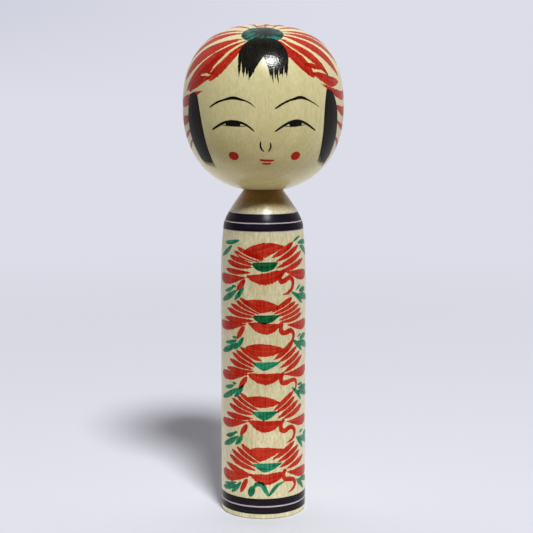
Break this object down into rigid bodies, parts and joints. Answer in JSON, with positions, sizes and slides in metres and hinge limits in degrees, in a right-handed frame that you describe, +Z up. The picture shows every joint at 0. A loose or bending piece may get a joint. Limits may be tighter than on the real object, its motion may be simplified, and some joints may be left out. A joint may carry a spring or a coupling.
{
  "type": "kokeshi doll",
  "caption": "Turned wooden kokeshi doll: a ball head pushed onto the tenon of a straight round body, painted with a face, a crown wheel and stacked chrysanthemums.",
  "frame": {"origin": "centre of the flat foot, on the surface the doll stands on", "axes": "+Z up along the turning axis, from the foot to the crown; the face looks along -Y; +X to the right of someone facing the doll"},
  "size_m": [0.0788, 0.0788, 0.2424],
  "materials": {
    "body_wood": "pale close-grained turned dogwood, dye-painted and waxed to a soft satin",
    "head_wood": "pale close-grained turned dogwood, dye-painted and waxed to a soft satin"
  },
  "bodies": {
    "body": {"body": "body_wood"},
    "head": {"head": "head_wood"}
  },
  "joints": [
    {"name": "head_turn", "type": "hinge", "parent": "body", "child": "head", "pos_m": [0, 0, 0.1622], "axis": [0, 0, 1], "continuous": true}
  ]
}
